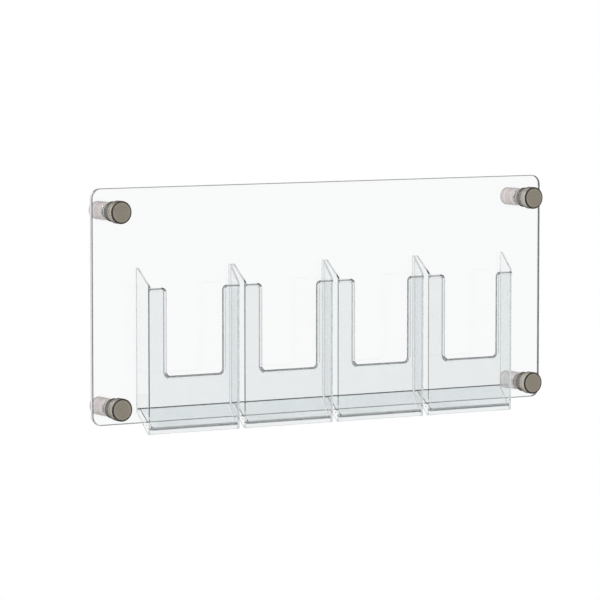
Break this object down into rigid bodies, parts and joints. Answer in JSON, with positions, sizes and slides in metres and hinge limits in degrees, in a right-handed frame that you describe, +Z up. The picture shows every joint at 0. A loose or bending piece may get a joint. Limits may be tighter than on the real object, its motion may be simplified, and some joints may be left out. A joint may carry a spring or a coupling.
{
  "type": "wall brochure rack",
  "caption": "Clear acrylic panel held off a wall by metal standoffs with screw caps, carrying a row of clear moulded leaflet pockets with U-shaped front cut-outs.",
  "frame": {"origin": "on the wall plane, behind the middle of the back panel", "axes": "+X to the right seen from the front, +Y into the wall, +Z up"},
  "size_m": [0.536, 0.0557, 0.244],
  "materials": {
    "clear_acrylic": "clear cast acrylic sheet, polished, edges polished",
    "clear_moulding": "clear moulded styrene or acrylic, glossy",
    "satin_nickel": "satin nickel, fine turned lines",
    "dark_nickel": "satin nickel, darker",
    "clear_nylon": "pale translucent nylon"
  },
  "bodies": {
    "rack": {"back_panel": "clear_acrylic", "pocket_1": "clear_moulding", "pocket_2": "clear_moulding", "pocket_3": "clear_moulding", "pocket_4": "clear_moulding", "barrel_top_left": "satin_nickel", "barrel_top_right": "satin_nickel", "barrel_bottom_left": "satin_nickel", "barrel_bottom_right": "satin_nickel", "rear_washer_top_left": "clear_nylon", "rear_washer_top_right": "clear_nylon", "rear_washer_bottom_left": "clear_nylon", "rear_washer_bottom_right": "clear_nylon"},
    "collar_top_left": {"collar_top_left": "dark_nickel", "front_washer_top_left": "clear_nylon"},
    "collar_top_right": {"collar_top_right": "dark_nickel", "front_washer_top_right": "clear_nylon"},
    "collar_bottom_left": {"collar_bottom_left": "dark_nickel", "front_washer_bottom_left": "clear_nylon"},
    "collar_bottom_right": {"collar_bottom_right": "dark_nickel", "front_washer_bottom_right": "clear_nylon"},
    "cap_top_left": {"cap_top_left": "satin_nickel"},
    "cap_top_right": {"cap_top_right": "satin_nickel"},
    "cap_bottom_left": {"cap_bottom_left": "satin_nickel"},
    "cap_bottom_right": {"cap_bottom_right": "satin_nickel"}
  },
  "joints": [
    {"name": "travel_top_left", "type": "slide", "parent": "rack", "child": "collar_top_left", "axis": [0, -1, 0], "range_m": [0, 0.01]},
    {"name": "travel_top_right", "type": "slide", "parent": "rack", "child": "collar_top_right", "axis": [0, -1, 0], "range_m": [0, 0.01]},
    {"name": "travel_bottom_left", "type": "slide", "parent": "rack", "child": "collar_bottom_left", "axis": [0, -1, 0], "range_m": [0, 0.01]},
    {"name": "travel_bottom_right", "type": "slide", "parent": "rack", "child": "collar_bottom_right", "axis": [0, -1, 0], "range_m": [0, 0.01]},
    {"name": "turn_top_left", "type": "hinge", "parent": "collar_top_left", "child": "cap_top_left", "pos_m": [-0.246, 0, 0.0945], "axis": [0, -1, 0], "range_deg": [0, 2880]},
    {"name": "turn_top_right", "type": "hinge", "parent": "collar_top_right", "child": "cap_top_right", "pos_m": [0.246, 0, 0.0945], "axis": [0, -1, 0], "range_deg": [0, 2880]},
    {"name": "turn_bottom_left", "type": "hinge", "parent": "collar_bottom_left", "child": "cap_bottom_left", "pos_m": [-0.246, 0, -0.1005], "axis": [0, -1, 0], "range_deg": [0, 2880]},
    {"name": "turn_bottom_right", "type": "hinge", "parent": "collar_bottom_right", "child": "cap_bottom_right", "pos_m": [0.246, 0, -0.1005], "axis": [0, -1, 0], "range_deg": [0, 2880]}
  ],
  "couplings": [
    {"joint": "turn_top_left", "follows": "travel_top_left", "rad_per_m": 5026.5},
    {"joint": "turn_top_right", "follows": "travel_top_right", "rad_per_m": 5026.5},
    {"joint": "turn_bottom_left", "follows": "travel_bottom_left", "rad_per_m": 5026.5},
    {"joint": "turn_bottom_right", "follows": "travel_bottom_right", "rad_per_m": 5026.5}
  ]
}
